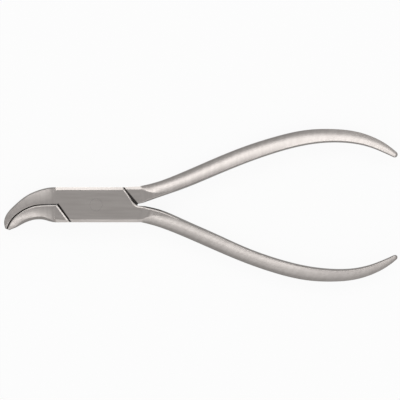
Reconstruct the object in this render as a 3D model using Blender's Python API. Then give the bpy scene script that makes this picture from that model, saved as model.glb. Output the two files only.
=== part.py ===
# Contouring pliers with a box joint, closed and lying flat.
# +X runs from the beaks to the handles and +Z along the pivot pin. The origin is on the pin's
# axis, at the back face of the joint. Lengths below are millimetres.

import math

import bmesh
import bpy
import numpy as np

MM = 0.001

# Joint block: a plain bar, with a shallow bevel ground along its two long sides. An edge is its
# width, its depth, the slope in degrees at which it leaves the flat, and how straight it is, from
# 0 for a round to 1 for a bevel.
JOINT_THICKNESS = 8.0
JOINT_HALF_WIDTH = 6.23
MID = JOINT_THICKNESS / 2
LONG_EDGE = (1.1, 0.40, 20.0, 1.0)
FINE_EDGE = (0.25, 0.2, 20.0, 0.5)
SHOULDER_EDGE = (0.75, 0.30, 20.0, 0.7)
TENON_EDGE = (0.12, 0.12, 0.0, 0.0)

# Tenon of one half, running in the slot between the two cheeks of the other.
TENON_HALF_THICKNESS = 1.5
SLOT_SIDE_GAP = 0.05
TENON_RADIUS = 6.18
STOP_GAP = 0.06
BOSS_STEPS = 5
PLATE_LIFT = 0.01
MAX_OPENING = math.radians(36.5)
SLOT_RELIEF = 0.3
SLOT_PAST_SIDE = 1.5
SLOT_ENDS = (-14.6, 17.0)

# Pivot pin, pressed in the cheeks, ground flush, and turning in the tenon.
PIN_RADIUS = 2.2
CHEEK_BORE_RADIUS = 2.215
TENON_BORE_RADIUS = 2.25
BORE_HEIGHTS = (-1.0, JOINT_THICKNESS + 1.0)
ROUND_SIDES = 64

# The halves meet on slanted shoulders, each given by its end on the jaw line or handle and its
# end on the block's long edge, with a gap between them along x. The upper cheek edge is hollowed
# away from its shoulder, over a stretch of the lower long edge.
SHOULDER_GAP = 0.60
LEFT_SHOULDER = [(-13.70, 0.10), (-9.10, -6.23)]
RIGHT_SHOULDER = [(9.72, 6.23), (14.76, 0.28)]
CHEEK_EDGE = [(9.30, 6.23), (11.40, 3.48), (12.82, 1.38), (14.20, 0.05), (14.80, -0.36), (15.30, -0.44)]
CHEEK_FEET = (6.0, 14.2)
CHEEK_STEPS = 12
BLOCK_STARTS = -13.70

# Jaw line from the tips to the joint: x, y, width of the upper beak and of the lower beak
# across it, and half thickness of both.
JAW = [
    (-31.75, -8.70, 0.50, 0.75, 1.30),
    (-31.30, -7.20, 1.65, 2.20, 1.85),
    (-30.10, -5.20, 2.65, 3.20, 2.35),
    (-28.00, -3.20, 3.25, 3.85, 2.85),
    (-25.20, -1.45, 3.90, 4.45, 3.30),
    (-22.20, -0.35, 4.75, 4.95, 3.70),
    (-19.00, 0.00, 5.68, 5.32, 3.93),
    (-16.25, 0.08, 6.12, 6.08, 4.00),
    (-14.30, 0.10, 6.13, 6.33, 4.00),
]
# Outer side of each beak along x: the share of its width that is cambered, the lean in degrees at
# the camber's outer end, its power, then the steep flank's width, depth and straightness.
UPPER_DOME = [
    (-31.75, 0.90, 14.0, 1.2, 0.20, 0.50, 0.3),
    (-29.00, 0.95, 14.0, 1.2, 0.45, 1.20, 0.6),
    (-24.00, 0.95, 15.0, 1.4, 0.55, 1.60, 0.7),
    (-17.80, 0.95, 14.0, 1.5, 0.55, 1.60, 0.7),
    (-16.40, 0.95, 9.5, 1.5, 0.50, 1.30, 0.7),
    (-15.40, 0.95, 3.5, 1.5, 0.40, 0.90, 0.7),
    (-14.90, 0.90, 1.5, 1.5, 0.25, 0.45, 0.7),
    (-14.60, 0.18, 20.0, 1.0, 0.05, 0.018, 1.0),
    (-14.30, 0.18, 20.0, 1.0, 0.05, 0.018, 1.0),
]
LOWER_DOME = [
    (-31.75, 0.90, 16.0, 2.0, 0.25, 0.50, 0.2),
    (-29.00, 0.92, 20.0, 2.2, 0.80, 1.20, 0.2),
    (-27.20, 0.93, 19.0, 2.3, 1.00, 1.50, 0.2),
    (-24.40, 0.94, 17.0, 2.3, 0.60, 1.40, 0.4),
    (-21.50, 0.95, 10.5, 1.8, 0.45, 1.40, 0.6),
    (-18.70, 0.95, 8.5, 1.8, 0.45, 1.40, 0.6),
    (-16.40, 0.95, 6.5, 1.8, 0.42, 1.20, 0.6),
    (-15.40, 0.95, 2.6, 1.8, 0.36, 0.80, 0.6),
    (-14.90, 0.90, 1.2, 1.8, 0.25, 0.45, 0.6),
    (-14.60, 0.174, 20.0, 1.0, 0.05, 0.018, 1.0),
    (-14.30, 0.174, 20.0, 1.0, 0.05, 0.018, 1.0),
]
FLANK_WIDTH_LIMIT = 0.4
FLANK_DEPTH_LIMIT = 0.45
JAW_GAP = 0.08
JAW_EDGE_SHARE = 0.2
# Swell of the lower working face, and hollow of the upper one, on beaks of full width.
JAW_CROWN = 0.45
CROWN_STARTS = -15.0
CROWN_FULL = -24.0
CROWN_WIDTH = 2.5
BEAK_STEP = 0.8

# Middle line of each handle from the joint to its end: x, y and width across it.
UPPER_HANDLE = [
    (15.85, 3.60, 6.00),
    (21.20, 5.33, 5.40),
    (29.70, 8.35, 5.60),
    (41.10, 13.15, 5.85),
    (52.50, 17.80, 5.90),
    (63.90, 21.60, 5.75),
    (75.30, 24.20, 5.50),
    (84.00, 24.75, 5.00),
    (92.40, 24.05, 4.45),
    (98.10, 22.45, 3.90),
    (103.80, 19.60, 3.00),
    (107.20, 17.40, 1.90),
]
LOWER_HANDLE = [
    (16.60, -3.41, 5.83),
    (21.20, -4.52, 6.20),
    (29.70, -7.85, 6.00),
    (41.10, -12.85, 5.85),
    (52.50, -17.80, 5.45),
    (63.90, -21.75, 5.35),
    (75.30, -24.40, 5.20),
    (84.00, -25.10, 4.70),
    (92.40, -24.55, 4.15),
    (98.10, -23.00, 3.60),
    (103.80, -20.30, 2.75),
    (107.20, -18.20, 1.70),
]
# Section of both handles along x: half thickness, then the outer dome's width, depth, slope at
# which it leaves the flat, and straightness. Near the joint the dome is cut out of the flat face.
HANDLE_DOME = [
    (15.8, 4.00, 1.10, 0.40, 20.0, 1.0),
    (16.4, 4.00, 1.15, 0.50, 20.0, 1.0),
    (17.6, 4.00, 2.30, 1.70, 18.0, 0.1),
    (19.8, 4.00, 3.45, 2.90, 13.0, 0.0),
    (22.6, 4.00, 4.20, 3.30, 5.0, 0.0),
    (28.0, 3.85, 5.20, 3.50, 3.0, 0.0),
    (36.0, 3.55, 5.40, 3.30, 6.0, 0.0),
    (48.0, 3.25, 5.40, 3.05, 10.0, 0.0),
    (64.0, 3.05, 5.40, 2.85, 12.0, 0.0),
    (80.0, 2.80, 5.40, 2.60, 12.0, 0.0),
    (92.0, 2.40, 5.40, 2.20, 12.0, 0.0),
    (100.0, 1.95, 5.40, 1.80, 12.0, 0.0),
    (107.2, 1.15, 5.40, 1.00, 12.0, 0.0),
]
# Inner edge of both handles along x: width, depth, straightness, and swell of the wall below it.
INNER_EDGE = [
    (15.8, 0.45, 0.25, 0.7, 0.05),
    (18.5, 0.45, 0.25, 0.7, 0.40),
    (26.0, 0.45, 0.35, 0.5, 0.40),
    (34.0, 0.50, 0.90, 0.0, 0.25),
    (48.0, 0.65, 1.60, 0.0, 0.10),
    (80.0, 0.70, 1.60, 0.0, 0.10),
    (107.2, 0.30, 0.60, 0.0, 0.05),
]
INNER_EDGE_SHARE = 0.2
EDGE_DEPTH_LIMIT = 0.92
EDGE_SPACING = 1.15
ROOT_ENDS = 26.0
ROOT_STEP = 0.8
GRIP_STEP = 2.8
NOSE_LENGTH = 1.1
NOSE_ANGLES = (20.0, 40.0, 58.0, 74.0)

EDGE_STEPS = 6
CAMBER_STEPS = 3
SHARP_ANGLE = math.radians(30)
SATIN_COLOUR = (0.56, 0.55, 0.53)
SATIN_ROUGHNESS = 0.34
PIN_COLOUR = (0.52, 0.51, 0.50)
PIN_ROUGHNESS = 0.30
EDGE_LEAN_LIMIT = 0.45
WALL_SHARES = (-0.5, 0.0, 0.5)


# Curves

def fair_curve(knots, values, at):
    # Natural cubic spline through the values at the knots.
    knots = np.asarray(knots, float)
    values = np.asarray(values, float)
    spans = np.diff(knots)
    count = len(knots)
    matrix = np.eye(count)
    right = np.zeros_like(values)
    for i in range(1, count - 1):
        matrix[i, i - 1:i + 2] = spans[i - 1], 2 * (spans[i - 1] + spans[i]), spans[i]
        rise_after = (values[i + 1] - values[i]) / spans[i]
        rise_before = (values[i] - values[i - 1]) / spans[i - 1]
        right[i] = 6 * (rise_after - rise_before)
    bends = np.linalg.solve(matrix, right)
    samples = []
    for place in at:
        i = min(max(int(np.searchsorted(knots, place)) - 1, 0), count - 2)
        a = (knots[i + 1] - place) / spans[i]
        b = 1 - a
        curve = (a ** 3 - a) * bends[i] + (b ** 3 - b) * bends[i + 1]
        samples.append(a * values[i] + b * values[i + 1] + curve * spans[i] ** 2 / 6)
    return np.array(samples)


def steady_curve(knots, values, at):
    # Curve through the values at the knots that never overshoots them.
    knots = np.asarray(knots, float)
    values = np.asarray(values, float)
    spans = np.diff(knots)[:, None]
    slopes = np.diff(values, axis=0) / spans
    before, after = slopes[:-1], slopes[1:]
    same_way = before * after > 0
    tangents = np.zeros_like(values)
    tangents[0] = slopes[0]
    tangents[-1] = slopes[-1]
    total = np.where(same_way, before + after, 1.0)
    tangents[1:-1] = np.where(same_way, 2 * before * after / total, 0.0)
    samples = []
    for place in np.clip(at, knots[0], knots[-1]):
        i = min(max(int(np.searchsorted(knots, place)) - 1, 0), len(knots) - 2)
        t = (place - knots[i]) / spans[i]
        level = values[i] * (1 + 2 * t) * (1 - t) ** 2 + values[i + 1] * t * t * (3 - 2 * t)
        lean = tangents[i] * (1 - t) - tangents[i + 1] * t
        samples.append(level + spans[i] * t * (1 - t) * lean)
    return np.array(samples)


def chord_lengths(points):
    steps = np.hypot(*np.diff(np.asarray(points)[:, :2], axis=0).T)
    return np.concatenate([[0.0], np.cumsum(steps)])


def normals_along(points):
    # Unit normals on the left of a polyline.
    run = np.gradient(points, axis=0)
    run /= np.hypot(run[:, 0], run[:, 1])[:, None]
    return np.stack([-run[:, 1], run[:, 0]], axis=1)


def ease(value, start, full):
    u = min(max((value - start) / (full - start), 0.0), 1.0)
    return u * u * (3 - 2 * u)


# Sections: each is a closed loop in the upright plane through two points of the outline

def station(low, high, half, low_edge, high_edge, low_crown=0.0, high_crown=0.0):
    return {"low": np.array(low, float), "high": np.array(high, float), "half": half,
            "low_edge": low_edge, "high_edge": high_edge,
            "low_crown": low_crown, "high_crown": high_crown}


def edge_points(edge, steps):
    # Points from the flat face to the side wall, as inset from the side and drop from the face.
    # The round is part of an ellipse that turns from the starting slope to upright.
    width, depth, slope, straightness = edge
    lean = min(math.tan(math.radians(slope)) * width / depth, EDGE_LEAN_LIMIT)
    sine = lean / (1 - lean)
    half_wide = width / (1 - sine)
    half_high = depth / math.sqrt(1 - sine * sine)
    first = math.atan2(half_high * sine, half_wide * math.sqrt(1 - sine * sine))
    points = []
    for i in range(steps + 1):
        share = i / steps
        tilt = first + (math.pi / 2 - first) * share
        turn = math.atan2(math.sin(tilt) * half_wide, math.cos(tilt) * half_high)
        inset = half_wide * (1 - math.sin(turn))
        drop = depth - half_high * math.cos(turn)
        points.append((inset + (width * (1 - share) - inset) * straightness,
                       drop + (depth * share - drop) * straightness))
    return points


def dome_points(dome):
    # A camber that leans over little by little towards the outer side, then the flank.
    width, lean, power, flank_width, flank_depth, straightness = dome
    camber = math.tan(math.radians(lean)) * (width - flank_width) / power
    points = []
    for i in range(CAMBER_STEPS):
        share = i / CAMBER_STEPS
        points.append((width - (width - flank_width) * share, camber * share ** power))
    flank = edge_points((flank_width, flank_depth, lean, straightness), EDGE_STEPS - CAMBER_STEPS)
    return points + [(inset, camber + drop) for inset, drop in flank]


def side_points(edge):
    return dome_points(edge) if len(edge) == len(UPPER_DOME[0]) - 1 else edge_points(edge, EDGE_STEPS)


def wall(half, depth, crown):
    side = half - depth
    return [(crown * (1 - (side * share / half) ** 2), side * share) for share in WALL_SHARES]


def section_loop(item):
    low, high, half = item["low"], item["high"], item["half"]
    span = high - low
    width = math.hypot(*span)
    along = span / width
    high_edge = side_points(item["high_edge"])
    low_edge = side_points(item["low_edge"])
    loop = [(width - inset, half - drop) for inset, drop in high_edge]
    high_wall = wall(half, high_edge[-1][1], item["high_crown"])
    loop += [(width + bulge, height) for bulge, height in reversed(high_wall)]
    loop += [(width - inset, drop - half) for inset, drop in reversed(high_edge)]
    loop += [(inset, drop - half) for inset, drop in low_edge]
    low_wall = wall(half, low_edge[-1][1], item["low_crown"])
    loop += [(bulge, height) for bulge, height in low_wall]
    loop += [(inset, half - drop) for inset, drop in reversed(low_edge)]
    points = []
    for offset, height in loop:
        place = low + along * offset
        points.append((place[0] * MM, place[1] * MM, (MID + height) * MM))
    return points


def ribbon_mesh(name, stations):
    # One closed skin through all the sections, capped at both ends.
    mesh_data = bmesh.new()
    rings = []
    for item in stations:
        rings.append([mesh_data.verts.new(point) for point in section_loop(item)])
    for ring, following in zip(rings[:-1], rings[1:]):
        for i in range(len(ring)):
            j = (i + 1) % len(ring)
            mesh_data.faces.new((ring[i], ring[j], following[j], following[i]))
    mesh_data.faces.new(reversed(rings[0]))
    mesh_data.faces.new(rings[-1])
    bmesh.ops.recalc_face_normals(mesh_data, faces=mesh_data.faces)
    mesh = bpy.data.meshes.new(name)
    mesh_data.to_mesh(mesh)
    mesh_data.free()
    return mesh


# Beaks

def beak_edges(row, law, width):
    half = min(row[4], MID)
    flank = (min(law[4], FLANK_WIDTH_LIMIT * width), min(law[5], FLANK_DEPTH_LIMIT * half), law[6])
    slimmer = min(row[2], row[3])
    jaw_width = min(FINE_EDGE[0], JAW_EDGE_SHARE * slimmer)
    jaw_depth = jaw_width * FINE_EDGE[1] / FINE_EDGE[0]
    room = width - JAW_GAP / 2 - jaw_width * EDGE_SPACING
    outer_edge = (min(law[1] * width, room), law[2], law[3], *flank)
    return half, outer_edge, (jaw_width, jaw_depth, FINE_EDGE[2], FINE_EDGE[3])


def beak_stations(upper):
    knots = chord_lengths(JAW)
    places = np.linspace(0.0, knots[-1], int(knots[-1] / BEAK_STEP))
    rows = fair_curve(knots, np.array(JAW), places)
    dome = np.array(UPPER_DOME if upper else LOWER_DOME)
    laws = steady_curve(dome[:, 0], dome, rows[:, 0])
    # The jaw line runs from the tips to the joint, so its left side is the upper beak's.
    stations = []
    for row, law, normal in zip(rows, laws, normals_along(rows[:, :2])):
        point = row[:2]
        width = row[2] if upper else row[3]
        half, outer_edge, jaw_edge = beak_edges(row, law, width)
        slimmer = min(row[2], row[3])
        crown = JAW_CROWN * ease(row[0], CROWN_STARTS, CROWN_FULL) * min(1.0, slimmer / CROWN_WIDTH)
        if upper:
            inner = point + normal * JAW_GAP / 2
            outer = point + normal * width
            stations.append(station(inner, outer, half, jaw_edge, outer_edge, low_crown=crown))
        else:
            inner = point - normal * JAW_GAP / 2
            outer = point - normal * width
            stations.append(station(outer, inner, half, outer_edge, jaw_edge, high_crown=crown))
    return stations


# Handles

def handle_places(start, finish):
    nose_starts = finish - NOSE_LENGTH
    root = np.arange(start, ROOT_ENDS, ROOT_STEP)
    grip = np.linspace(ROOT_ENDS, nose_starts, int((nose_starts - ROOT_ENDS) / GRIP_STEP))
    nose = nose_starts + NOSE_LENGTH * np.sin(np.radians(NOSE_ANGLES))
    return np.concatenate([root, grip, nose])


def handle_edges(law, inner, width, half, blunt):
    inner_edge = (min(inner[1], INNER_EDGE_SHARE * width),
                  min(inner[2] * blunt, EDGE_DEPTH_LIMIT * half), 0.0, inner[3])
    room = width - inner_edge[0] * EDGE_SPACING
    outer_edge = (min(law[2] * blunt, room), min(law[3] * blunt, EDGE_DEPTH_LIMIT * half),
                  law[4], law[5])
    return inner_edge, outer_edge


def handle_stations(line, upper):
    line = np.array(line)
    places = handle_places(line[0, 0], line[-1, 0])
    nose_starts = line[-1, 0] - NOSE_LENGTH
    middles = fair_curve(line[:, 0], line, places)
    dome_rows, inner_rows = np.array(HANDLE_DOME), np.array(INNER_EDGE)
    dome_laws = steady_curve(dome_rows[:, 0], dome_rows, places)
    inner_laws = steady_curve(inner_rows[:, 0], inner_rows, places)
    normals = normals_along(middles[:, :2])
    stations = []
    for middle, law, inner, normal in zip(middles, dome_laws, inner_laws, normals):
        blunt = math.sqrt(1 - max(0.0, (middle[0] - nose_starts) / NOSE_LENGTH) ** 2)
        width = middle[2] * blunt
        half = min(law[1], MID) * blunt
        inner_edge, outer_edge = handle_edges(law, inner, width, half, blunt)
        swell = inner[4] * blunt
        point = middle[:2]
        if upper:
            low = point - normal * (width / 2 - swell)
            high = point + normal * width / 2
            stations.append(station(low, high, half, inner_edge, outer_edge, low_crown=-swell))
        else:
            low = point - normal * width / 2
            high = point + normal * (width / 2 - swell)
            stations.append(station(low, high, half, outer_edge, inner_edge, high_crown=swell))
    return stations


# Box half: upper beak, block with the two cheeks, lower handle

def cheek_stations():
    # Along the hollow cheek edge to the lower handle's inner edge.
    cheek = np.array(CHEEK_EDGE)
    knots = chord_lengths(cheek)
    edge_line = fair_curve(knots, cheek, np.linspace(0.0, knots[-1], CHEEK_STEPS + 1))
    feet = np.linspace(*CHEEK_FEET, len(edge_line))
    side = JOINT_HALF_WIDTH
    stations = [station((feet[0], -side), edge_line[0], MID, LONG_EDGE, LONG_EDGE)]
    for foot, point in zip(feet[1:], edge_line[1:]):
        stations.append(station((foot, -side), point, MID, LONG_EDGE, SHOULDER_EDGE))
    return stations


def box_stations():
    gap = SHOULDER_GAP / 2
    side = JOINT_HALF_WIDTH
    (top_x, top_y), (foot_x, foot_y) = LEFT_SHOULDER
    top = (top_x + gap, top_y + JAW_GAP / 2)
    foot = foot_x + gap
    stations = beak_stations(upper=True)
    # Down the left shoulder, whose fine edge gives way to the block's long edge at the foot.
    stations.append(station(top, (BLOCK_STARTS, side), MID, FINE_EDGE, LONG_EDGE))
    lift = LONG_EDGE[0]
    low = (foot + lift * (top_x - foot_x) / (top_y - foot_y), foot_y + lift)
    stations.append(station(low, (low[0], side), MID, FINE_EDGE, LONG_EDGE))
    for x in (foot, 0.0):
        stations.append(station((x, -side), (x, side), MID, LONG_EDGE, LONG_EDGE))
    return stations + cheek_stations() + handle_stations(LOWER_HANDLE, upper=False)


# Tenon half: lower beak, tenon, upper handle

def tenon_stations():
    gap = SHOULDER_GAP / 2
    (top_x, top_y), (foot_x, foot_y) = LEFT_SHOULDER
    left_high = np.array((top_x - gap, top_y - JAW_GAP / 2))
    left_low = np.array((foot_x - gap, foot_y))
    right_high, right_low = np.array(RIGHT_SHOULDER)
    stations = beak_stations(upper=False)
    # Each shoulder closes the solid from full thickness down to the tenon.
    broad = np.array((SHOULDER_EDGE[0], 0.0))
    stations.append(station(left_low - broad, left_high - broad, MID, LONG_EDGE, FINE_EDGE))
    half = MID - SHOULDER_EDGE[1]
    stations.append(station(left_low, left_high, half, LONG_EDGE, FINE_EDGE))
    stations += tenon_plate_stations()
    fine = np.array((FINE_EDGE[0], 0.0))
    half = MID - FINE_EDGE[1]
    stations.append(station(right_low, right_high, half, FINE_EDGE, LONG_EDGE))
    stations.append(station(right_low + fine, right_high + fine, MID, FINE_EDGE, LONG_EDGE))
    return stations + handle_stations(UPPER_HANDLE, upper=True)


def tenon_plate_stations():
    # A round boss that fills the block's width, with flats tangent to it along the block's sides
    # and along the slot's two end walls. Half of the outline gives the other half, turned over.
    tangent = math.pi / 2 + MAX_OPENING
    foot = np.array((math.cos(tangent), math.sin(tangent))) * TENON_RADIUS
    run = np.array((math.sin(tangent), -math.cos(tangent)))
    flat_end = foot - run * foot[1] / run[1]
    (top_x, top_y), (foot_x, foot_y) = LEFT_SHOULDER
    gap = SHOULDER_GAP / 2
    high = [(top_x - gap, 0.0), flat_end, (flat_end + foot) / 2, foot]
    shares = np.arange(1, BOSS_STEPS + 1) / BOSS_STEPS
    for angle in tangent - MAX_OPENING * shares:
        high.append((TENON_RADIUS * math.cos(angle), TENON_RADIUS * math.sin(angle)))
    for x in RIGHT_SHOULDER[0][0] * shares:
        high.append((x, TENON_RADIUS))
    low = [(-x, -y) for x, y in reversed(high)]
    low[0] = (foot_x - gap, -TENON_RADIUS)
    # The last section ends just above the shoulder's foot, so that it spans a closed strip there.
    right_high, right_low = np.array(RIGHT_SHOULDER)
    low[-1] = right_low + (right_high - right_low) * PLATE_LIFT
    half = TENON_HALF_THICKNESS
    return [station(a, b, half, TENON_EDGE, TENON_EDGE) for a, b in zip(low, high)]


# Cutters

def add_cutter(name, mesh):
    cutter = bpy.data.objects.new(name, mesh)
    cutter.hide_render = True
    cutter.display_type = "WIRE"
    bpy.context.collection.objects.link(cutter)
    return cutter


def prism_mesh(name, outline, bottom, top):
    mesh_data = bmesh.new()
    base = [mesh_data.verts.new((x * MM, y * MM, bottom * MM)) for x, y in outline]
    face = mesh_data.faces.new(base)
    raised = bmesh.ops.extrude_face_region(mesh_data, geom=[face])
    lifted = [item for item in raised["geom"] if isinstance(item, bmesh.types.BMVert)]
    bmesh.ops.translate(mesh_data, verts=lifted, vec=(0.0, 0.0, (top - bottom) * MM))
    bmesh.ops.recalc_face_normals(mesh_data, faces=mesh_data.faces)
    mesh = bpy.data.meshes.new(name)
    mesh_data.to_mesh(mesh)
    mesh_data.free()
    return mesh


def circle(radius):
    turns = (2 * math.pi * i / ROUND_SIDES for i in range(ROUND_SIDES))
    return [(radius * math.cos(turn), radius * math.sin(turn)) for turn in turns]


def slot_mesh():
    # The slot's end walls are the lines that the tenon's flats reach at full opening.
    tangent = math.pi / 2 + MAX_OPENING
    outward = np.array((math.cos(tangent), math.sin(tangent)))
    run = np.array((math.sin(tangent), -math.cos(tangent)))
    foot = outward * (TENON_RADIUS + STOP_GAP)
    past_side = JOINT_HALF_WIDTH + SLOT_PAST_SIDE
    wall_low = foot + run * (SLOT_RELIEF - foot[1]) / run[1]
    wall_high = foot + run * (past_side - foot[1]) / run[1]
    jaw_end, handle_end = SLOT_ENDS
    outline = [wall_low, wall_high, (handle_end, past_side), (handle_end, -SLOT_RELIEF),
               -wall_low, -wall_high, (jaw_end, -past_side), (jaw_end, SLOT_RELIEF)]
    half = TENON_HALF_THICKNESS + SLOT_SIDE_GAP
    return prism_mesh("slot", outline, MID - half, MID + half)


def cut(target, cutter):
    modifier = target.modifiers.new(cutter.name, "BOOLEAN")
    modifier.operation = "DIFFERENCE"
    modifier.solver = "EXACT"
    modifier.object = cutter


# Finishes

def steel(name, colour, roughness):
    material = bpy.data.materials.new(name)
    material.use_nodes = True
    shader = material.node_tree.nodes["Principled BSDF"]
    shader.inputs["Base Color"].default_value = (*colour, 1.0)
    shader.inputs["Metallic"].default_value = 1.0
    shader.inputs["Roughness"].default_value = roughness
    return material


# Pieces

def add_piece(name, mesh, material):
    mesh.shade_smooth()
    mesh.set_sharp_from_angle(angle=SHARP_ANGLE)
    mesh.materials.append(material)
    piece = bpy.data.objects.new(name, mesh)
    bpy.context.collection.objects.link(piece)
    return piece


def build():
    for item in list(bpy.data.objects):
        bpy.data.objects.remove(item, do_unlink=True)

    box_half = add_piece("box_half", ribbon_mesh("box_half", box_stations()),
                         steel("satin_steel_box", SATIN_COLOUR, SATIN_ROUGHNESS))
    tenon_half = add_piece("tenon_half", ribbon_mesh("tenon_half", tenon_stations()),
                           steel("satin_steel_tenon", SATIN_COLOUR, SATIN_ROUGHNESS))
    add_piece("pivot_pin", prism_mesh("pivot_pin", circle(PIN_RADIUS), 0.0, JOINT_THICKNESS),
              steel("hard_steel_pin", PIN_COLOUR, PIN_ROUGHNESS))

    cut(box_half, add_cutter("slot_cutter", slot_mesh()))
    cheek_bore = prism_mesh("cheek_bore", circle(CHEEK_BORE_RADIUS), *BORE_HEIGHTS)
    cut(box_half, add_cutter("cheek_bore_cutter", cheek_bore))
    tenon_bore = prism_mesh("tenon_bore", circle(TENON_BORE_RADIUS), *BORE_HEIGHTS)
    cut(tenon_half, add_cutter("tenon_bore_cutter", tenon_bore))


build()
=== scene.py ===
import math

import bmesh
import bpy
import numpy as np
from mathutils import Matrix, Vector


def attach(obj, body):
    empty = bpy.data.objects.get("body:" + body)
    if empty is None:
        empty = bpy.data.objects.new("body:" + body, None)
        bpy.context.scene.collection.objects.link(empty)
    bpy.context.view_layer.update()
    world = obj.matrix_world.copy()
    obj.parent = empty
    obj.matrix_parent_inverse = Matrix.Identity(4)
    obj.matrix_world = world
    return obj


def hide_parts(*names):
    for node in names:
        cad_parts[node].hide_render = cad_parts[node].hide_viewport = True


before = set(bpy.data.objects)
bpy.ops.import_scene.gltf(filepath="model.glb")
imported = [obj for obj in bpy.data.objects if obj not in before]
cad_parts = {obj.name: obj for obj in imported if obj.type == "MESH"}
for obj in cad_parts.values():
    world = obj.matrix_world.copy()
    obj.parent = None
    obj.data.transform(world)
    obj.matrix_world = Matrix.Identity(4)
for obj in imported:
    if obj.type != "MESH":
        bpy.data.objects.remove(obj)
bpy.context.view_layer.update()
bpy.ops.object.select_all(action="DESELECT")
print("frame loaded:", sorted(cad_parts))

mm = 0.001


# colours are written as sRGB hex and turned to linear here
def linear(hexText):
    channels = []
    for i in (0, 2, 4):
        value = int(hexText[i:i + 2], 16) / 255
        channels.append(value / 12.92 if value <= 0.04045 else ((value + 0.055) / 1.055) ** 2.4)
    return (*channels, 1.0)


# adds one node, sets its settings and inputs, and links what is given as a (node, socket) pair
def addNode(material, kind, settings=None, inputs=None):
    tree = material.node_tree
    node = tree.nodes.new(kind)
    for name, value in (settings or {}).items():
        setattr(node, name, value)
    for name, value in (inputs or {}).items():
        if isinstance(value, tuple) and isinstance(value[0], bpy.types.Node):
            tree.links.new(value[0].outputs[value[1]], node.inputs[name])
        else:
            node.inputs[name].default_value = value
    return node


view = {
    "lens": 200.0,            # long product lens, so the block's sides stay hidden
    "sensorWidth": 36.0,
    "frameWidth": 142.5,      # mm across the 400 px picture
    "centre": (36.87, 1.68),  # mm, what the middle of the picture looks at
    "focusHeight": 5.0,       # mm above the table
    "clip": (0.01, 10.0),     # metres
}


def addCamera(view):
    data = bpy.data.cameras.new("camera")
    camera = bpy.data.objects.new("camera", data)
    bpy.context.scene.collection.objects.link(camera)
    data.lens = view["lens"]
    data.sensor_width = view["sensorWidth"]
    data.clip_start, data.clip_end = view["clip"]
    distance = view["frameWidth"] * mm * view["lens"] / view["sensorWidth"]
    x, y = view["centre"]
    camera.location = (x * mm, y * mm, view["focusHeight"] * mm + distance)
    bpy.context.scene.camera = camera
    print("camera hung", round(distance, 2), "m over the table")


addCamera(view)


# fair curve through rows of values at the given knots, for outlines
def fairCurve(knots, rows, places):
    knots = np.asarray(knots, float)
    rows = np.asarray(rows, float)
    spans = np.diff(knots)
    matrix = np.eye(len(knots))
    right = np.zeros_like(rows)
    for i in range(1, len(knots) - 1):
        matrix[i, i - 1:i + 2] = spans[i - 1], 2 * (spans[i - 1] + spans[i]), spans[i]
        right[i] = 6 * ((rows[i + 1] - rows[i]) / spans[i] - (rows[i] - rows[i - 1]) / spans[i - 1])
    bends = np.linalg.solve(matrix, right)
    places = np.asarray(places, float)
    i = np.clip(np.searchsorted(knots, places) - 1, 0, len(knots) - 2)
    span = spans[i][:, None]
    a = (knots[i + 1] - places)[:, None] / span
    b = 1 - a
    return (a * rows[i] + b * rows[i + 1]
            + ((a ** 3 - a) * bends[i] + (b ** 3 - b) * bends[i + 1]) * span ** 2 / 6)


# curve through rows of values that never overshoots them, for widths and thicknesses
def steadyCurve(knots, rows, places):
    knots = np.asarray(knots, float)
    rows = np.asarray(rows, float)
    spans = np.diff(knots)[:, None]
    slopes = np.diff(rows, axis=0) / spans
    before, after = slopes[:-1], slopes[1:]
    same = before * after > 0
    total = np.where(same, before + after, 1.0)
    tangents = np.zeros_like(rows)
    tangents[0], tangents[-1] = slopes[0], slopes[-1]
    tangents[1:-1] = np.where(same, 2 * before * after / total, 0.0)
    places = np.clip(np.asarray(places, float), knots[0], knots[-1])
    i = np.clip(np.searchsorted(knots, places) - 1, 0, len(knots) - 2)
    t = (places - knots[i])[:, None] / spans[i]
    return (rows[i] * (1 + 2 * t) * (1 - t) ** 2 + rows[i + 1] * t * t * (3 - 2 * t)
            + spans[i] * t * (1 - t) * (tangents[i] * (1 - t) - tangents[i + 1] * t))


def lengthsAlong(points):
    steps = np.hypot(*np.diff(points[:, :2], axis=0).T)
    return np.concatenate([[0.0], np.cumsum(steps)])


# unit vectors to the left of a run of points
def leftOf(points):
    run = np.gradient(points, axis=0)
    run /= np.hypot(run[:, 0], run[:, 1])[:, None]
    return np.stack([-run[:, 1], run[:, 0]], axis=1)


# a section is an upright slice between two points of the outline, with an edge at each side. An
# edge is its width, its depth, the slope in degrees at which it leaves the flat, and how straight
# it is, from 0 for a round to 1 for a bevel
section = {
    "edgeSteps": 16,
    "wallSteps": 4,
    "gather": 1.7,      # crowds an edge's steps towards the flat
    "leanLimit": 0.45,  # no ellipse fits an edge that leans by 0.5 or more
}


def edgeCurve(edge, steps):
    width, depth, slope, straight = edge
    lean = min(math.tan(math.radians(slope)) * width / depth, section["leanLimit"])
    sine = lean / (1 - lean)
    halfWide = width / (1 - sine)
    halfHigh = depth / math.sqrt(1 - sine * sine)
    first = math.atan2(halfHigh * sine, halfWide * math.sqrt(1 - sine * sine))
    places = []
    for i in range(steps + 1):
        share = i / steps
        tilt = first + (math.pi / 2 - first) * share ** section["gather"]
        turn = math.atan2(math.sin(tilt) * halfWide, math.cos(tilt) * halfHigh)
        inset = halfWide * (1 - math.sin(turn))
        drop = depth - halfHigh * math.cos(turn)
        places.append((inset + (width * (1 - share) - inset) * straight,
                       drop + (depth * share - drop) * straight))
    return places


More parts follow.
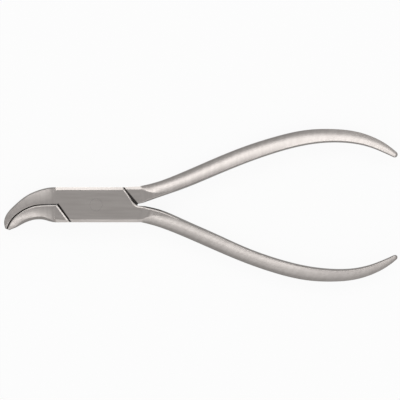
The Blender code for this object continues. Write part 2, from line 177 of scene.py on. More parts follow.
# a beak's outer side: a camber that leans over little by little, then a steep flank; its width,
# the lean in degrees at the camber's outer end, the camber's power, and the flank's width, depth
# and straightness
def domeCurve(dome, steps):
    width, lean, power, flankWidth, flankDepth, straight = dome
    camber = math.tan(math.radians(lean)) * (width - flankWidth) / power
    count = steps // 2
    places = []
    for i in range(count):
        share = i / count
        places.append((width - (width - flankWidth) * share, camber * share ** power))
    for inset, drop in edgeCurve((flankWidth, flankDepth, lean, straight), steps - count):
        places.append((inset, camber + drop))
    return places


def wallCurve(half, depth, crown, steps):
    side = half - depth
    shares = [2 * i / steps - 1 for i in range(1, steps)]
    return [(crown * (1 - (side * share / half) ** 2), side * share) for share in shares]


# one slice as world places in metres, once round
def sliceRing(item):
    low, high = np.array(item["low"], float), np.array(item["high"], float)
    half, mid = item["half"], block["thickness"] / 2
    width = math.hypot(*(high - low))
    along = (high - low) / width
    highEdge, lowEdge = [
        (domeCurve if len(edge) == 6 else edgeCurve)(edge, section["edgeSteps"])
        for edge in (item["highEdge"], item["lowEdge"])]
    highWall = wallCurve(half, highEdge[-1][1], item["highCrown"], section["wallSteps"])
    lowWall = wallCurve(half, lowEdge[-1][1], item["lowCrown"], section["wallSteps"])
    loop = [(width - inset, half - drop) for inset, drop in highEdge]
    loop += [(width + bulge, height) for bulge, height in reversed(highWall)]
    loop += [(width - inset, drop - half) for inset, drop in reversed(highEdge)]
    loop += [(inset, drop - half) for inset, drop in lowEdge]
    loop += [(bulge, height) for bulge, height in lowWall]
    loop += [(inset, half - drop) for inset, drop in reversed(lowEdge)]
    places = []
    for offset, height in loop:
        x, y = low + along * offset
        places.append((x * mm, y * mm, (mid + height) * mm))
    return places


def sliceAt(low, high, half, lowEdge, highEdge, lowCrown=0.0, highCrown=0.0):
    return {"low": low, "high": high, "half": half, "lowEdge": lowEdge, "highEdge": highEdge,
            "lowCrown": lowCrown, "highCrown": highCrown}


# the joint block, which both halves share; millimetres on the table, x towards the handles
block = {
    "thickness": 8.0,
    "halfWidth": 6.23,
    "longEdge": (1.0, 0.37, 20.0, 1.0),       # ground bevel along the two long sides
    "fineEdge": (0.25, 0.2, 20.0, 0.5),
    "shoulderEdge": (0.60, 0.24, 20.0, 0.7),  # broader bevels that catch the light beside the slots
    "cheekBevel": (0.60, 0.29, 20.0, 0.8),
    "shoulderGap": 0.68,                      # across the left slot, along x
    "shoulderRise": 0.1,                      # the right shoulder gets its full height within this
    "upperCorner": -13.70,                    # x where the upper beak meets the block's far side
    "leftShoulder": ((-13.66, 0.12), (-9.06, -6.23)),
    "rightShoulder": ((9.92, 6.23), (14.93, 0.36)),
    "cheekEdge": ((9.34, 6.23), (10.88, 4.25), (12.12, 2.41), (13.00, 1.02), (14.10, -0.02),
                  (14.68, -0.32), (15.30, -0.42)),
    "cheekPoints": 25,
    "cheekFeet": (6.0, 14.2),                 # x of its first and last slice on the near side
}

# the beaks, along the jaw line from the tips to the joint
beaks = {
    # x, y, width of the upper and of the lower beak, half thickness
    "line": (
        (-31.93, -8.70, 0.70, 0.85, 1.30), (-31.30, -7.27, 1.82, 2.32, 1.85),
        (-30.08, -5.30, 2.68, 3.34, 2.35), (-27.96, -3.28, 3.10, 3.92, 2.85),
        (-25.15, -1.58, 3.82, 4.42, 3.30), (-22.17, -0.46, 4.70, 4.90, 3.70),
        (-19.00, -0.05, 5.62, 5.30, 3.93), (-16.25, 0.04, 6.10, 6.06, 4.00),
        (-14.30, 0.06, 6.13, 6.33, 4.00),
    ),
    # x, share of the beak's width that is cambered, lean at its outer end, power, then the flank:
    # its width, depth and straightness
    "upperDome": (
        (-31.75, 0.90, 18.0, 1.2, 0.28, 0.60, 0.5), (-29.0, 0.95, 17.0, 1.2, 0.45, 1.20, 0.6),
        (-26.5, 0.95, 14.5, 1.3, 0.50, 1.40, 0.7), (-23.5, 0.95, 12.5, 1.4, 0.50, 1.60, 0.7),
        (-18.0, 0.95, 11.5, 1.5, 0.50, 1.60, 0.7), (-16.6, 0.95, 11.0, 1.6, 0.50, 1.30, 0.7),
        (-15.7, 0.95, 7.0, 1.7, 0.45, 0.90, 0.7), (-15.0, 0.95, 2.2, 1.8, 0.40, 0.50, 0.7),
        (-14.5, 0.18, 20.0, 1.0, 0.05, 0.018, 1.0), (-14.3, 0.18, 20.0, 1.0, 0.05, 0.018, 1.0),
    ),
    "lowerDome": (
        (-31.75, 0.90, 16.0, 2.0, 0.25, 0.50, 0.20), (-29.0, 0.92, 20.0, 2.2, 0.80, 1.20, 0.20),
        (-27.2, 0.93, 18.0, 2.3, 1.0, 1.50, 0.20), (-24.4, 0.94, 14.5, 2.2, 0.95, 1.50, 0.40),
        (-21.5, 0.95, 10.2, 1.80, 1.00, 1.60, 0.55), (-18.7, 0.95, 8.8, 1.60, 1.05, 1.70, 0.60),
        (-16.6, 0.95, 6.6, 1.60, 0.90, 1.50, 0.60), (-15.7, 0.95, 4.2, 1.70, 0.60, 1.00, 0.60),
        (-15.0, 0.95, 1.2, 1.80, 0.45, 0.60, 0.60), (-14.5, 0.17, 20.0, 1.0, 0.05, 0.018, 1.0),
        (-14.3, 0.17, 20.0, 1.0, 0.05, 0.018, 1.0),
    ),
    "gap": 0.42,                              # between the rims of the two working faces
    "pinch": 0.20,                            # they swell by this and nearly touch at half height
    "upperJawEdge": (0.12, 0.12, 20.0, 0.5),
    "lowerJawEdge": (0.30, 0.14, 22.0, 1.0),  # the light line along the lower working face
    "crown": 0.45,                            # hollow of the upper face and swell of the lower one
    "crownFrom": -15.0,
    "crownFull": -24.0,
    "crownWidth": 2.5,                        # a beak slimmer than this has less of the crown
    "edgeWidth": 1.5,                         # and one slimmer than this a finer edge at the jaw
    "flankLimit": (0.4, 0.45),                # of the beak's width and of its half thickness
    "jawRoom": 1.1,                           # jaw edges' widths that the camber leaves free
    "step": 0.35,
}

# the handles: middle line and width across it, from the joint to the end
handles = {
    "upper": (
        (15.85, 3.60, 6.00), (21.20, 5.17, 5.40), (29.70, 8.19, 5.54), (41.10, 12.98, 5.76),
        (52.50, 17.62, 5.78), (63.90, 21.43, 5.57), (75.30, 24.04, 5.28), (84.00, 24.59, 4.78),
        (92.40, 23.87, 4.35), (98.10, 22.28, 3.80), (103.80, 19.50, 2.90), (107.20, 17.32, 1.82),
    ),
    "lower": (
        (16.60, -3.37, 5.83), (21.20, -4.47, 6.00), (29.70, -7.75, 5.65), (41.10, -12.75, 5.53),
        (52.50, -17.73, 5.27), (63.90, -21.75, 5.21), (75.30, -24.44, 5.04), (84.00, -25.14, 4.54),
        (92.40, -24.59, 3.99), (98.10, -23.05, 3.44), (103.80, -20.40, 2.55),
        (107.20, -18.30, 1.55),
    ),
    # x, half thickness, then the outer dome: width, depth, slope where it leaves the flat, and
    # straightness
    "dome": (
        (15.8, 4.00, 1.10, 0.40, 20.0, 1.0), (16.5, 4.00, 1.12, 0.44, 20.0, 1.0),
        (18.0, 4.00, 2.15, 1.35, 19.0, 0.15), (20.0, 4.00, 3.25, 2.15, 16.0, 0.0),
        (22.6, 4.00, 4.05, 2.40, 8.0, 0.0), (28.0, 3.85, 5.00, 2.80, 4.0, 0.0),
        (36.0, 3.55, 5.30, 3.10, 5.5, 0.0), (48.0, 3.25, 5.40, 3.05, 8.5, 0.0),
        (64.0, 3.05, 5.40, 2.85, 10.5, 0.05), (75.0, 2.85, 5.40, 2.35, 14.0, 0.30),
        (84.0, 2.70, 5.40, 2.00, 15.0, 0.50), (92.0, 2.40, 5.40, 1.80, 16.0, 0.55),
        (100.0, 1.95, 5.40, 1.50, 17.0, 0.55), (107.2, 1.15, 5.40, 0.90, 17.0, 0.40),
    ),
    # x, then the inner edge: width, depth, straightness, and how far the inner wall swells below it
    "upperInner": (
        (15.8, 0.25, 0.20, 0.4, 0.05), (18.5, 0.25, 0.20, 0.4, 0.25), (26.0, 0.30, 0.35, 0.3, 0.30),
        (34.0, 0.40, 0.90, 0.0, 0.20), (48.0, 0.50, 1.60, 0.0, 0.10), (80.0, 0.50, 1.60, 0.0, 0.10),
        (107.2, 0.30, 0.60, 0.0, 0.05),
    ),
    "lowerInner": (
        (15.8, 0.45, 0.25, 0.7, 0.22), (18.5, 0.45, 0.25, 0.7, 0.40), (26.0, 0.45, 0.35, 0.5, 0.40),
        (34.0, 0.50, 0.90, 0.0, 0.25), (48.0, 0.65, 1.60, 0.0, 0.10), (80.0, 0.70, 1.60, 0.0, 0.10),
        (107.2, 0.30, 0.60, 0.0, 0.05),
    ),
    "lowerSlope": 0.8,              # the lower handle leaves its flat less steeply
    "innerLimit": (0.2, 0.9),       # of the handle's width and of its half thickness
    "outerLimit": 0.94,             # of its half thickness
    "innerRoom": 1.15,              # inner edges' widths that the dome leaves free
    "rootStep": 0.35,
    "gripFrom": 26.0,               # x where the slices get farther apart
    "gripStep": 0.9,
    "noseLength": 0.75,
    "noseTurns": (9.0, 82.0, 9.0),  # degrees round the end: first, limit and step
}


def beakSlices(upper):
    side = "upper" if upper else "lower"
    line = np.array(beaks["line"])
    knots = lengthsAlong(line)
    rows = fairCurve(knots, line, np.linspace(0.0, knots[-1], int(knots[-1] / beaks["step"])))
    dome = np.array(beaks[side + "Dome"])
    laws = steadyCurve(dome[:, 0], dome, rows[:, 0])
    jawWidth, jawDepth, *jawTurn = beaks[side + "JawEdge"]
    wide, deep = beaks["flankLimit"]
    slices = []
    for row, law, left in zip(rows, laws, leftOf(rows[:, :2])):
        width = row[2] if upper else row[3]
        slimmer = min(row[2], row[3])
        half = min(row[4], block["thickness"] / 2)
        bend = (row[0] - beaks["crownFrom"]) / (beaks["crownFull"] - beaks["crownFrom"])
        bend = min(max(bend, 0.0), 1.0)
        crown = beaks["crown"] * bend * bend * (3 - 2 * bend)
        crown *= min(1.0, slimmer / beaks["crownWidth"])
        small = min(1.0, slimmer / beaks["edgeWidth"])
        jawEdge = (jawWidth * small, jawDepth * small, *jawTurn)
        flank = (min(law[4], wide * width), min(law[5], deep * half), law[6])
        room = width - beaks["gap"] / 2 - jawEdge[0] * beaks["jawRoom"]
        outerEdge = (min(law[1] * width, room), law[2], law[3], *flank)
        rim = left * beaks["gap"] / 2
        if upper:
            slices.append(sliceAt(row[:2] + rim, row[:2] + left * width, half, jawEdge, outerEdge,
                                  lowCrown=crown - beaks["pinch"]))
        else:
            slices.append(sliceAt(row[:2] - left * width, row[:2] - rim, half, outerEdge, jawEdge,
                                  highCrown=crown + beaks["pinch"]))
    return slices


def handleSlices(upper):
    side = "upper" if upper else "lower"
    line = np.array(handles[side])
    gripFrom, noseLength = handles["gripFrom"], handles["noseLength"]
    noseFrom = line[-1, 0] - noseLength
    root = np.arange(line[0, 0], gripFrom, handles["rootStep"])
    grip = np.linspace(gripFrom, noseFrom, int((noseFrom - gripFrom) / handles["gripStep"]))
    nose = noseFrom + noseLength * np.sin(np.radians(np.arange(*handles["noseTurns"])))
    places = np.concatenate([root, grip, nose])
    middles = fairCurve(line[:, 0], line, places)
    dome, inner = np.array(handles["dome"]), np.array(handles[side + "Inner"])
    domeLaws = steadyCurve(dome[:, 0], dome, places)
    innerLaws = steadyCurve(inner[:, 0], inner, places)
    wide, deep = handles["innerLimit"]
    slices = []
    for middle, law, edge, left in zip(middles, domeLaws, innerLaws, leftOf(middles[:, :2])):
        blunt = math.sqrt(1 - max(0.0, (middle[0] - noseFrom) / noseLength) ** 2)
        width = middle[2] * blunt
        half = min(law[1], block["thickness"] / 2) * blunt
        innerEdge = (min(edge[1], wide * width), min(edge[2] * blunt, deep * half), 0.0, edge[3])
        room = width - innerEdge[0] * handles["innerRoom"]
        slope = law[4] * (1.0 if upper else handles["lowerSlope"])
        drop = min(law[3] * blunt, handles["outerLimit"] * half)
        outerEdge = (min(law[2] * blunt, room), drop, slope, law[5])
        swell = edge[4] * blunt
        low = middle[:2] - left * (width / 2 - (swell if upper else 0.0))
        high = middle[:2] + left * (width / 2 - (0.0 if upper else swell))
        if upper:
            slices.append(sliceAt(low, high, half, innerEdge, outerEdge, lowCrown=-swell))
        else:
            slices.append(sliceAt(low, high, half, outerEdge, innerEdge, highCrown=swell))
    return slices


# upper beak, block and lower handle
def boxSlices():
    mid, side = block["thickness"] / 2, block["halfWidth"]
    gap = block["shoulderGap"] / 2
    longEdge, fineEdge = block["longEdge"], block["fineEdge"]
    (topX, topY), (footX, footY) = block["leftShoulder"]
    slices = beakSlices(upper=True)
    slices.append(sliceAt((topX + gap, topY + beaks["gap"] / 2), (block["upperCorner"], side), mid,
                          fineEdge, longEdge, lowCrown=-beaks["pinch"]))
    # down the left shoulder, whose fine edge gives way to the long bevel at its foot
    lift = longEdge[0]
    aboveFoot = (footX + gap + lift * (topX - footX) / (topY - footY), footY + lift)
    slices.append(sliceAt(aboveFoot, (aboveFoot[0], side), mid, fineEdge, longEdge))
    slices.append(sliceAt((footX + gap, -side), (footX + gap, side), mid, longEdge, longEdge))
    slices.append(sliceAt((0.0, -side), (0.0, side), mid, longEdge, longEdge))
    # along the hollow cheek edge to the lower handle's inner edge
    cheek = np.array(block["cheekEdge"])
    knots = lengthsAlong(cheek)
    edgePoints = fairCurve(knots, cheek, np.linspace(0.0, knots[-1], block["cheekPoints"]))
    feet = np.linspace(*block["cheekFeet"], len(edgePoints))
    slices.append(sliceAt((feet[0], -side), edgePoints[0], mid, longEdge, longEdge))
    for foot, point in zip(feet[1:], edgePoints[1:]):
        slices.append(sliceAt((foot, -side), point, mid, longEdge, block["cheekBevel"]))
    return slices + handleSlices(upper=False)


# the tenon plate: a round boss with flats tangent to it, which stop the opening
tenon = {
    "half": 1.5,
    "radius": 6.18,
    "opening": 36.5,
    "arcSteps": 10,
    "bore": 2.25,
    "edge": (0.12, 0.12, 0.0, 0.0),
    "tongue": 0.24,         # it runs on a little under both corners of the slots, so the table
    "tongueLength": 1.3,    # doesn't show through there
    "tongueEnd": 14.3,
    "endShare": 0.01,       # its last slice stops just short of the shoulder's foot
    # where slices stand between the pin and the right shoulder
    "shares": (0.12, 0.25, 0.37, 0.5, 0.6, 0.7, 0.78, 0.86, 0.93, 1.0),
}


def tenonPlate():
    radius, tongue = tenon["radius"], tenon["tongue"]
    lean = math.radians(90 + tenon["opening"])
    foot = np.array((math.cos(lean), math.sin(lean))) * radius
    run = np.array((math.sin(lean), -math.cos(lean)))
    flatEnd = foot - run * foot[1] / run[1]
    gap = block["shoulderGap"] / 2
    (topX, topY), (footX, footY) = block["leftShoulder"]
    high = [(topX - gap, tongue), (topX + tenon["tongueLength"], tongue), flatEnd,
            (flatEnd + foot) / 2, foot]
    for share in np.linspace(1.0, 0.0, tenon["arcSteps"])[1:]:
        turn = math.radians(90 + tenon["opening"] * share)
        high.append((radius * math.cos(turn), radius * math.sin(turn)))
    rightHigh, rightLow = np.array(block["rightShoulder"])
    high += [(rightHigh[0] * share, radius) for share in tenon["shares"]]
    low = [(-x, -y) for x, y in reversed(high)]
    low[0] = (footX - gap, -radius)
    low[-2] = (tenon["tongueEnd"], -tongue)
    low[-1] = rightLow + (rightHigh - rightLow) * tenon["endShare"]
    return [sliceAt(a, b, tenon["half"], tenon["edge"], tenon["edge"]) for a, b in zip(low, high)]


# lower beak, tenon and upper handle
def tenonSlices():
    mid = block["thickness"] / 2
    gap = block["shoulderGap"] / 2
    longEdge, fineEdge, broadEdge = block["longEdge"], block["fineEdge"], block["shoulderEdge"]
    (topX, topY), (footX, footY) = block["leftShoulder"]
    leftHigh = np.array((topX - gap, topY - beaks["gap"] / 2))
    leftLow = np.array((footX - gap, footY))
    rightHigh, rightLow = np.array(block["rightShoulder"])
    slices = beakSlices(upper=False)
    back = np.array((broadEdge[0], 0.0))
    slices.append(sliceAt(leftLow - back, leftHigh - back, mid, longEdge, fineEdge,
                          highCrown=beaks["pinch"]))
    slices.append(sliceAt(leftLow, leftHigh, mid - broadEdge[1], longEdge, fineEdge))
    slices += tenonPlate()
    rise = block["shoulderRise"]
    back = np.array((rise, 0.0))
    slices.append(sliceAt(rightLow, rightHigh, mid - rise, fineEdge, longEdge))
    slices.append(sliceAt(rightLow + back, rightHigh + back, mid, fineEdge, longEdge))
    return slices + handleSlices(upper=True)


# moves the selected cap's corners to the places of one slice
def placeRing(piece, places):
    skin = bmesh.from_edit_mesh(piece.data)
    cap = [face for face in skin.faces if face.select][0]
    for loop, place in zip(cap.loops, places):
        loop.vert.co = place
    bmesh.update_edit_mesh(piece.data)


# forges a half: a filled ring, extruded from slice to slice
def forge(name, slices):
    rings = [sliceRing(item) for item in slices]
    bpy.ops.mesh.primitive_circle_add(vertices=len(rings[0]), radius=block["thickness"] / 2 * mm,
                                      fill_type="NGON")
    piece = bpy.context.object
    piece.name = piece.data.name = name
    bpy.ops.object.mode_set(mode="EDIT")
    placeRing(piece, rings[0])
    for places in rings[1:]:
        bpy.ops.mesh.extrude_region_move(TRANSFORM_OT_translate={"value": (0.0, 0.0, 0.0)})
        placeRing(piece, places)
    bpy.ops.mesh.select_all(action="SELECT")
    bpy.ops.mesh.normals_make_consistent(inside=False)
    bpy.ops.object.mode_set(mode="OBJECT")
    bpy.ops.object.transform_apply(location=True, rotation=True, scale=True)
    print(name, "forged from", len(rings), "slices")
    return piece


# cuts one shape out of a piece and throws the cutter away
def cutOut(piece, cutter):
    bpy.ops.object.select_all(action="DESELECT")
    piece.select_set(True)
    bpy.context.view_layer.objects.active = piece
    cut = piece.modifiers.new("cut", "BOOLEAN")
    cut.operation = "DIFFERENCE"
    cut.solver = "EXACT"
    cut.object = cutter
    bpy.ops.object.modifier_apply(modifier=cut.name)
    bpy.data.objects.remove(cutter)
    print(piece.name, "cut, now", len(piece.data.polygons), "faces")


bore = {"corners": 128, "length": 20.0, "cheekRadius": 2.215}


def boreCutter(radius):
    bpy.ops.mesh.primitive_cylinder_add(vertices=bore["corners"], radius=radius * mm,
                                        depth=bore["length"] * mm,
                                        location=(0.0, 0.0, block["thickness"] / 2 * mm))
    return bpy.context.object


# half of the slot: a slab on one side of the middle line, cut off at the wall that stops the tenon
slot = {
    "half": 1.55,
    "stopGap": 0.06,
    "relief": 0.3,    # how far each slab runs over the middle line
    "past": 7.73,     # and how far out past the block's side
    "start": -15.0,
    "end": 17.0,
    "jawEnd": 14.6,
}


def slotCutter(end, turned):
    top, bottom, start = slot["past"], -slot["relief"], slot["start"]
    bpy.ops.mesh.primitive_cube_add(size=1.0)
    cutter = bpy.context.object
    bpy.ops.object.mode_set(mode="EDIT")
    bpy.ops.transform.resize(value=((end - start) * mm, (top - bottom) * mm, 2 * slot["half"] * mm))
    bpy.ops.transform.translate(value=((end + start) / 2 * mm, (top + bottom) / 2 * mm,
                                       block["thickness"] / 2 * mm))
    lean = math.radians(90 + tenon["opening"])
    outward = Vector((math.cos(lean), math.sin(lean), 0.0))
    bpy.ops.mesh.bisect(plane_co=outward * (tenon["radius"] + slot["stopGap"]) * mm,
                        plane_no=outward, use_fill=True, clear_outer=True)
    if turned:
        bpy.ops.mesh.select_all(action="SELECT")
        bpy.ops.transform.rotate(value=math.pi, orient_axis="Z", center_override=(0.0, 0.0, 0.0))
    bpy.ops.mesh.select_all(action="SELECT")
    bpy.ops.mesh.normals_make_consistent(inside=False)
    bpy.ops.object.mode_set(mode="OBJECT")
    return cutter


sharpFrom = 17  # degrees between two faces from which their edge stays crisp


def smooth(piece):
    bpy.ops.object.select_all(action="DESELECT")
    piece.select_set(True)
    bpy.context.view_layer.objects.active = piece
    bpy.ops.object.shade_smooth_by_angle(angle=math.radians(sharpFrom))


boxHalf = forge("boxHalfForging", boxSlices())
cutOut(boxHalf, slotCutter(slot["end"], turned=False))
cutOut(boxHalf, slotCutter(slot["jawEnd"], turned=True))
cutOut(boxHalf, boreCutter(bore["cheekRadius"]))
smooth(boxHalf)

tenonHalf = forge("tenonHalfForging", tenonSlices())
cutOut(tenonHalf, boreCutter(tenon["bore"]))
smooth(tenonHalf)

# where the grinding marks run: lengthwise on the block, straight across the beaks and at a slant
# across the handles
grinding = {
    "handlesFrom": 15.5, "handlePoints": 200, "handleSlant": 20.0,
    "beaksTo": -14.5, "beakPoints": 80, "beakSlant": 0.0,
}


# gives each corner its place in mm as the marks see it, x along the marks
def layMarks(piece, handleLine):
    places = np.empty(len(piece.data.vertices) * 3)
    piece.data.vertices.foreach_get("co", places)
    places = places.reshape(-1, 3) / mm
    lay = places.copy()
    rows = np.array(handleLine)
    steps = np.linspace(rows[0, 0], rows[-1, 0], grinding["handlePoints"])
    handle = fairCurve(rows[:, 0], rows, steps)
    rows = np.array(beaks["line"])
    knots = lengthsAlong(rows)
    jaw = fairCurve(knots, rows, np.linspace(0.0, knots[-1], grinding["beakPoints"]))
    onHandle = places[:, 0] > grinding["handlesFrom"]
    onBeak = places[:, 0] < grinding["beaksTo"]
    for line, chosen, slant in ((handle, onHandle, grinding["handleSlant"]),
                                (jaw, onBeak, grinding["beakSlant"])):
        lengths, left = lengthsAlong(line), leftOf(line[:, :2])
        gaps = places[chosen][:, None, :2] - line[None, :, :2]
        nearest = np.argmin(np.hypot(gaps[:, :, 0], gaps[:, :, 1]), axis=1)
        gap, side = gaps[np.arange(len(nearest)), nearest], left[nearest]
        along = lengths[nearest] + gap[:, 0] * side[:, 1] - gap[:, 1] * side[:, 0]
        across = gap[:, 0] * side[:, 0] + gap[:, 1] * side[:, 1]
        sine, cosine = math.sin(math.radians(slant)), math.cos(math.radians(slant))
        lay[chosen, 0] = across * cosine + along * sine
        lay[chosen, 1] = along * cosine - across * sine
    marks = piece.data.attributes.new("lay", "FLOAT_VECTOR", "POINT")
    marks.data.foreach_set("vector", lay.ravel())


steelLook = {
    "light": "C4BEBA", "dark": "BCB6B2",       # two tones, a few millimetres apart along the marks
    "roughness": (0.32, 0.37),
    # mm, the fine grinding marks; real ones are a few hundredths wide, too fine for the render, so
    # they are drawn several times coarser
    "markWidth": 0.18, "markLength": 7.0,
    "bandWidth": 1.1, "bandLength": 16.0,      # mm, the broad uneven bands they lie in
    "grain": 0.11,                             # mm, the blasted grain over the marks, also coarser
    "grainShare": 0.4,                         # its height beside the marks'
    "relief": 0.0012,                          # mm, depth of the marks
    "toneSpread": (0.35, 0.65),                # part of the noise that turns into the two tones
    "markSpread": (0.3, 0.7),                  # and into the two roughnesses
    "edgeWidth": 0.13, "edgeColour": "D6D1CD", "edgeRoughness": 0.26,
    "edgeMatch": (0.995, 0.92),                # how alike both normals are, from none to full wear
    # the black-grey pair below is bare unpolished steel and also painted shade in the slot, the jaw
    # gap and the crotch between the handles
    "bareAndShadeColour": "2A2827", "scaleAndShadeColour": "383533", "bareRoughness": 0.6, "bareAndShadeMetal": 0.1,
    "scaleSize": 0.7,
}


# streaks that are long along the marks and narrow across them
def addStreaks(material, lay, length, width):
    stretched = addNode(material, "ShaderNodeMapping", inputs={
        "Vector": lay, "Scale": (1 / length, 1 / width, 1 / width)})
    return addNode(material, "ShaderNodeTexNoise", inputs={
        "Vector": (stretched, 0), "Scale": 1.0, "Detail": 2.0, "Roughness": 0.5})


# satin stainless steel, ground, then fine blasted: soft grey with faint streaks along the marks, a
# shade smoother and lighter on its edges; black-grey where it was never polished, and the same
# black-grey as painted shade in the slot, in the gap between the jaws and in the crotch of the
# handles
def satinSteel(name, look, followsLay):
    material = bpy.data.materials.new(name)
    material.use_nodes = True
    shader = material.node_tree.nodes["Principled BSDF"]
    if followsLay:
        lay = (addNode(material, "ShaderNodeAttribute", {"attribute_name": "lay"}), "Vector")
    else:
        places = addNode(material, "ShaderNodeTexCoord")
        lay = (addNode(material, "ShaderNodeVectorMath", {"operation": "SCALE"},
                       {0: (places, "Object"), "Scale": 1 / mm}), 0)
    marks = addStreaks(material, lay, look["markLength"], look["markWidth"])
    bands = addStreaks(material, lay, look["bandLength"], look["bandWidth"])
    grain = addNode(material, "ShaderNodeTexNoise", inputs={
        "Vector": lay, "Scale": 1 / look["grain"], "Detail": 1.0})
    # the broad bands lighten and darken the metal, and the marks make it rougher and smoother
    tone = addNode(material, "ShaderNodeMapRange", inputs={
        "Value": (bands, 0), "From Min": look["toneSpread"][0], "From Max": look["toneSpread"][1]})
    satin = addNode(material, "ShaderNodeMix", {"data_type": "RGBA"},
                    {0: (tone, 0), 6: linear(look["light"]), 7: linear(look["dark"])})
    satinRough = addNode(material, "ShaderNodeMapRange", inputs={
        "Value": (marks, 0), "From Min": look["markSpread"][0], "From Max": look["markSpread"][1],
        "To Min": look["roughness"][0], "To Max": look["roughness"][1]})
    # the edges, where the rounded normal leaves the face's own
    rounded = addNode(material, "ShaderNodeBevel", {"samples": 6},
                      {"Radius": look["edgeWidth"] * mm})
    geometry = addNode(material, "ShaderNodeNewGeometry")
    match = addNode(material, "ShaderNodeVectorMath", {"operation": "DOT_PRODUCT"},
                    {0: (rounded, 0), 1: (geometry, "Normal")})
    edge = addNode(material, "ShaderNodeMapRange", inputs={
        "Value": (match, "Value"), "From Min": look["edgeMatch"][0],
        "From Max": look["edgeMatch"][1]})
    worn = addNode(material, "ShaderNodeMix", {"data_type": "RGBA"},
                   {0: (edge, 0), 6: (satin, 2), 7: linear(look["edgeColour"])})
    wornRough = addNode(material, "ShaderNodeMix", inputs={
        0: (edge, 0), 2: (satinRough, 0), 3: look["edgeRoughness"]})
    # bare steel with a blotchy skin left by the forging; the same dark colour is painted shade in
    # the slot, the jaw gap and the handles' crotch
    bare = addNode(material, "ShaderNodeAttribute", {"attribute_name": "bare"})
    blotches = addNode(material, "ShaderNodeTexNoise", inputs={
        "Vector": lay, "Scale": 1 / look["scaleSize"], "Detail": 4.0})
    skin = addNode(material, "ShaderNodeMix", {"data_type": "RGBA"}, {
        0: (blotches, 0), 6: linear(look["bareAndShadeColour"]), 7: linear(look["scaleAndShadeColour"])})
    colour = addNode(material, "ShaderNodeMix", {"data_type": "RGBA"},
                     {0: (bare, "Fac"), 6: (worn, 2), 7: (skin, 2)})
    rough = addNode(material, "ShaderNodeMix", inputs={
        0: (bare, "Fac"), 2: (wornRough, 0), 3: look["bareRoughness"]})
    metal = addNode(material, "ShaderNodeMapRange", inputs={
        "Value": (bare, "Fac"), "To Min": 1.0, "To Max": look["bareAndShadeMetal"]})
    # the marks and the grain as a shallow relief
    relief = addNode(material, "ShaderNodeMath", {"operation": "MULTIPLY_ADD"},
                     {0: (grain, 0), 1: look["grainShare"], 2: (marks, 0)})
    bump = addNode(material, "ShaderNodeBump", inputs={
        "Height": (relief, 0), "Strength": 1.0, "Distance": look["relief"] * mm})
    material.node_tree.links.new(colour.outputs[2], shader.inputs["Base Color"])
    material.node_tree.links.new(rough.outputs[0], shader.inputs["Roughness"])
    material.node_tree.links.new(metal.outputs[0], shader.inputs["Metallic"])
    material.node_tree.links.new(bump.outputs[0], shader.inputs["Normal"])
    return material


# where the steel is painted black-grey, in mm, and how dark, from 0 to 1: partly bare unpolished
# steel, partly painted shade in the slot, between the jaws and in the crotch
bareAndShadedZones = {
    # the margin keeps both the painted shade and the bare steel off the block's two long sides
    "margin": 0.1,  # the block's two long sides stay clean
    "slotFaces": {"x": (-14.2, 15.5), "reach": 1.7, "level": 0.5, "bare": 0.8},
    "slotWalls": {"x": (-13.6, 14.6), "upright": 0.5, "bare": 0.6},
    "jaws": {"x": (-20.0, -13.6), "reach": 0.8, "upright": 0.6, "fade": 2.5, "bare": 0.8},
    "rootWall": {"x": (14.0, 27.0), "y": (-8.5, 0.5), "upright": 0.5, "start": 13.0,
                 "fadeIn": 4.0, "fadeOut": 5.0},
}


def within(value, limits):
    return limits[0] < value < limits[1]


def barenessAndShade(place, normal):
    x, y, z = (value / mm for value in place)
    level, upright = abs(normal[2]), 1.0 - abs(normal[2])
    inBlock = abs(y) < block["halfWidth"] - bareAndShadedZones["margin"]
    # the faces inside the slot and the tenon's flats, darkened as painted shade of the deep slot
    # and as unpolished steel
    zone = bareAndShadedZones["slotFaces"]
    nearMiddle = abs(z - block["thickness"] / 2) < zone["reach"]
    if within(x, zone["x"]) and inBlock and nearMiddle and level > zone["level"]:
        return zone["bare"]
    # the walls beside them, darkened the same way, as painted shade and as unpolished steel
    zone = bareAndShadedZones["slotWalls"]
    if within(x, zone["x"]) and inBlock and upright > zone["upright"]:
        return zone["bare"]
    # the working faces next to the joint, darkened as painted shade in the narrow gap between the
    # jaws and as unpolished steel
    zone = bareAndShadedZones["jaws"]
    if within(x, zone["x"]) and abs(y) < zone["reach"] and upright > zone["upright"]:
        return min((x - zone["x"][0]) / zone["fade"], zone["bare"])
    # the lower handle's inner wall, darkened as painted shade in the crotch between the two handles
    # and as unpolished steel
    zone = bareAndShadedZones["rootWall"]
    if (within(x, zone["x"]) and within(y, zone["y"]) and upright > zone["upright"]
            and normal[1] > 0.0):
        return min(1.0, (x - zone["start"]) / zone["fadeIn"], (zone["x"][1] - x) / zone["fadeOut"])
    return 0.0


steel = satinSteel("satinStainlessSteel", steelLook, followsLay=True)
for piece, handleLine in ((boxHalf, handles["lower"]), (tenonHalf, handles["upper"])):
    layMarks(piece, handleLine)
    # this attribute marks both unpolished steel and painted shade in the slot, the jaw gap and the
    # crotch
    bare = piece.data.attributes.new("bare", "FLOAT", "FACE")
    bare.data.foreach_set("value", [barenessAndShade(face.center, face.normal)
                                    for face in piece.data.polygons])
    piece.data.materials.clear()
    piece.data.materials.append(steel)

# the pin, ground flush with the block in one pass, so its marks run on from the block's
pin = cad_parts["pivot_pin"]
pin.data.materials.clear()
pin.data.materials.append(satinSteel("groundPinSteel", steelLook, followsLay=False))
print("finish laid on")

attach(boxHalf, "box_half")
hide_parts("box_half")
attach(tenonHalf, "tenon_half")
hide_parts("tenon_half")

stage = {
    "floorSize": 1.2, "floorPlace": (0.03, 0.0, -0.0002),  # metres, just under the pliers
    "floorColour": "DADADA", "floorRoughness": 0.9,
    "cameraGlow": 0.93,  # how far the floor is lifted to plain white where it is seen directly
    "reflected": 0.44,   # its brightness in the steel
}


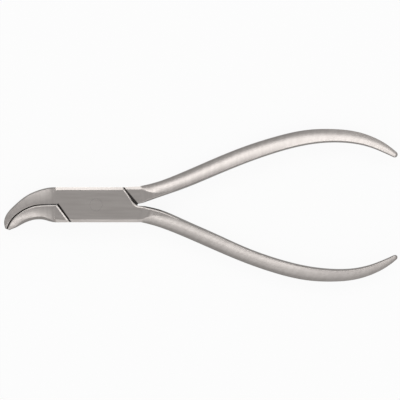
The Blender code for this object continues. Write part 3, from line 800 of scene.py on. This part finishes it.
# lit floor that keeps the shadow; seen directly it is lifted towards plain white
def addFloor(stage):
    bpy.ops.mesh.primitive_plane_add(size=stage["floorSize"], location=stage["floorPlace"])
    floor = bpy.context.object
    floor.name = "paleFloor"
    material = bpy.data.materials.new("paleFloorPaint")
    material.use_nodes = True
    nodes = material.node_tree.nodes
    paint = nodes["Principled BSDF"]
    paint.inputs["Base Color"].default_value = linear(stage["floorColour"])
    paint.inputs["Roughness"].default_value = stage["floorRoughness"]
    path = addNode(material, "ShaderNodeLightPath")
    white = addNode(material, "ShaderNodeEmission", inputs={"Strength": 1.0})
    lifted = addNode(material, "ShaderNodeMath", {"operation": "MULTIPLY"},
                     {0: (path, "Is Camera Ray"), 1: stage["cameraGlow"]})
    seenDirect = addNode(material, "ShaderNodeMixShader", inputs={
        0: (lifted, 0), 1: (paint, 0), 2: (white, 0)})
    dim = addNode(material, "ShaderNodeEmission", inputs={"Strength": stage["reflected"]})
    bounced = addNode(material, "ShaderNodeMath", {"operation": "MAXIMUM"},
                      {0: (path, "Is Glossy Ray"), 1: (path, "Is Transmission Ray")})
    seen = addNode(material, "ShaderNodeMixShader", inputs={
        0: (bounced, 0), 1: (seenDirect, 0), 2: (dim, 0)})
    material.node_tree.links.new(seen.outputs[0], nodes["Material Output"].inputs["Surface"])
    floor.data.materials.append(material)
    print("floor laid")


addFloor(stage)

# softboxes: place and size in metres, and power in watts; each faces the pliers' middle line
lamps = {
    "farBox": {"place": (0.20, 0.567, 0.733), "size": (1.8, 0.376), "power": 4.06},
    "nearBox": {"place": (0.20, -0.41, 0.83), "size": (1.8, 0.26), "power": 2.38},
    "lowBox": {"place": (0.20, -0.73, 0.57), "size": (1.8, 0.39), "power": 0.75},
}


def addLamp(name, lamp):
    data = bpy.data.lights.new(name, "AREA")
    data.shape = "RECTANGLE"
    data.size, data.size_y = lamp["size"]
    data.energy = lamp["power"]
    light = bpy.data.objects.new(name, data)
    bpy.context.scene.collection.objects.link(light)
    light.location = lamp["place"]
    aim = Vector((0.0, -light.location.y, -light.location.z))
    light.rotation_euler = aim.to_track_quat("-Z", "Y").to_euler()


for name, lamp in lamps.items():
    addLamp(name, lamp)
print(len(lamps), "softboxes hung")

# the room is a little darker right overhead, where the camera hangs
room = {"darkensFrom": 0.90, "darkestAt": 0.99, "strength": 0.5, "overhead": 0.31}


def addRoom(room):
    world = bpy.data.worlds.new("studio")
    bpy.context.scene.world = world
    world.use_nodes = True
    direction = addNode(world, "ShaderNodeTexCoord")
    height = addNode(world, "ShaderNodeSeparateXYZ", inputs={0: (direction, "Generated")})
    level = addNode(world, "ShaderNodeMapRange", inputs={
        "Value": (height, "Z"), "From Min": room["darkensFrom"], "From Max": room["darkestAt"],
        "To Min": room["strength"], "To Max": room["overhead"]})
    background = world.node_tree.nodes["Background"]
    world.node_tree.links.new(level.outputs[0], background.inputs["Strength"])
    background.inputs["Color"].default_value = (1.0, 1.0, 1.0, 1.0)
    print("room lit")


addRoom(room)

bpy.context.scene.view_settings.view_transform = "Standard"
